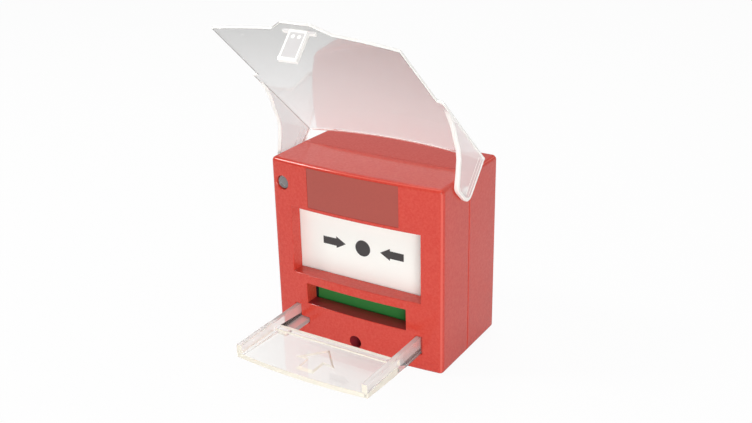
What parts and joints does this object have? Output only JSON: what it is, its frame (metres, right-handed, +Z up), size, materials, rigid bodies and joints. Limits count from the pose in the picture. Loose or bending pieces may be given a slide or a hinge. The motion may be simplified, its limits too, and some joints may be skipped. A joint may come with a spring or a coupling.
{
  "type": "manual call point",
  "caption": "Square wall-mounted manual call point with a bowed front, press panel, status flag, hinged clear lid and clear slide-in reset key.",
  "frame": {"origin": "middle of the flat back face that goes on the wall", "axes": "+X to the right seen from the front, +Y into the wall, +Z up"},
  "size_m": [0.0922, 0.097, 0.1586],
  "materials": {
    "red_plastic": "gloss",
    "title_film": "satin",
    "white_plastic": "satin",
    "green_plastic": "satin",
    "yellow_plastic": "satin",
    "black_plastic": "satin",
    "grey_plastic": "satin",
    "smoky_plastic": "clear",
    "board_laminate": "satin",
    "terminal_plastic": "satin",
    "plated_steel": "plated",
    "clear_plastic": "clear"
  },
  "bodies": {
    "housing": {"back_box": "red_plastic", "board_screw_1": "plated_steel", "board_screw_2": "plated_steel", "board_screw_3": "plated_steel", "board_screw_4": "plated_steel", "buzzer": "black_plastic", "chassis_screw_1": "plated_steel", "chassis_screw_2": "plated_steel", "chassis_screw_3": "plated_steel", "chassis_screw_4": "plated_steel", "circuit_board": "board_laminate", "cover_screw": "plated_steel", "flag_backing": "yellow_plastic", "front_cover": "red_plastic", "indicator_led": "green_plastic", "indicator_lens": "smoky_plastic", "latch_spring_left": "plated_steel", "latch_spring_right": "plated_steel", "mechanism_chassis": "black_plastic", "microswitch_left": "black_plastic", "microswitch_right": "black_plastic", "return_spring_left": "plated_steel", "return_spring_right": "plated_steel", "terminal_block": "terminal_plastic", "terminal_screw_1": "plated_steel", "terminal_screw_2": "plated_steel", "terminal_screw_3": "plated_steel", "terminal_screw_4": "plated_steel", "terminal_screw_5": "plated_steel", "terminal_screw_6": "plated_steel", "title_plate": "title_film"},
    "lid": {"clear_lid": "clear_plastic"},
    "key": {"reset_key": "clear_plastic"},
    "press": {"press_panel": "white_plastic", "panel_carriage": "black_plastic"},
    "flag": {"status_flag": "green_plastic"},
    "levers": {"switch_lever_left": "plated_steel", "switch_lever_right": "plated_steel"},
    "plungers": {"switch_plunger_left": "red_plastic", "switch_plunger_right": "red_plastic"},
    "latch": {"reset_latch": "grey_plastic"}
  },
  "joints": [
    {"name": "lid_hinge", "type": "hinge", "parent": "housing", "child": "lid", "pos_m": [0, -0.0335, 0.0377], "axis": [-1, 0, 0], "range_deg": [-96, 8]},
    {"name": "key_slide", "type": "slide", "parent": "housing", "child": "key", "axis": [0, -1, 0], "range_m": [-0.008, 0.03]},
    {"name": "panel_press", "type": "slide", "parent": "housing", "child": "press", "axis": [0, 1, 0], "range_m": [0, 0.004], "stiffness_N_per_m": 800, "springref_m": -0.001, "deforming": ["return_spring_left", "return_spring_right"]},
    {"name": "flag_fall", "type": "hinge", "parent": "housing", "child": "flag", "pos_m": [0, -0.0416, -0.0254], "axis": [-1, 0, 0], "range_deg": [0, 80.5]},
    {"name": "lever_swing", "type": "hinge", "parent": "housing", "child": "levers", "pos_m": [0, -0.0217, 0.0169], "axis": [1, 0, 0], "range_deg": [0, 18.2]},
    {"name": "plunger_push", "type": "slide", "parent": "housing", "child": "plungers", "axis": [0, 1, 0], "range_m": [0, 0.0012]},
    {"name": "latch_push", "type": "slide", "parent": "housing", "child": "latch", "axis": [0, 1, 0], "range_m": [0, 0.004], "stiffness_N_per_m": 500, "springref_m": -0.001, "deforming": ["latch_spring_left", "latch_spring_right"]}
  ],
  "couplings": [
    {"joint": "flag_fall", "follows": "panel_press", "rad_per_m": 349.07},
    {"joint": "lever_swing", "follows": "panel_press", "rad_per_m": 78.192},
    {"joint": "plunger_push", "follows": "panel_press", "ratio": 0.291}
  ]
}
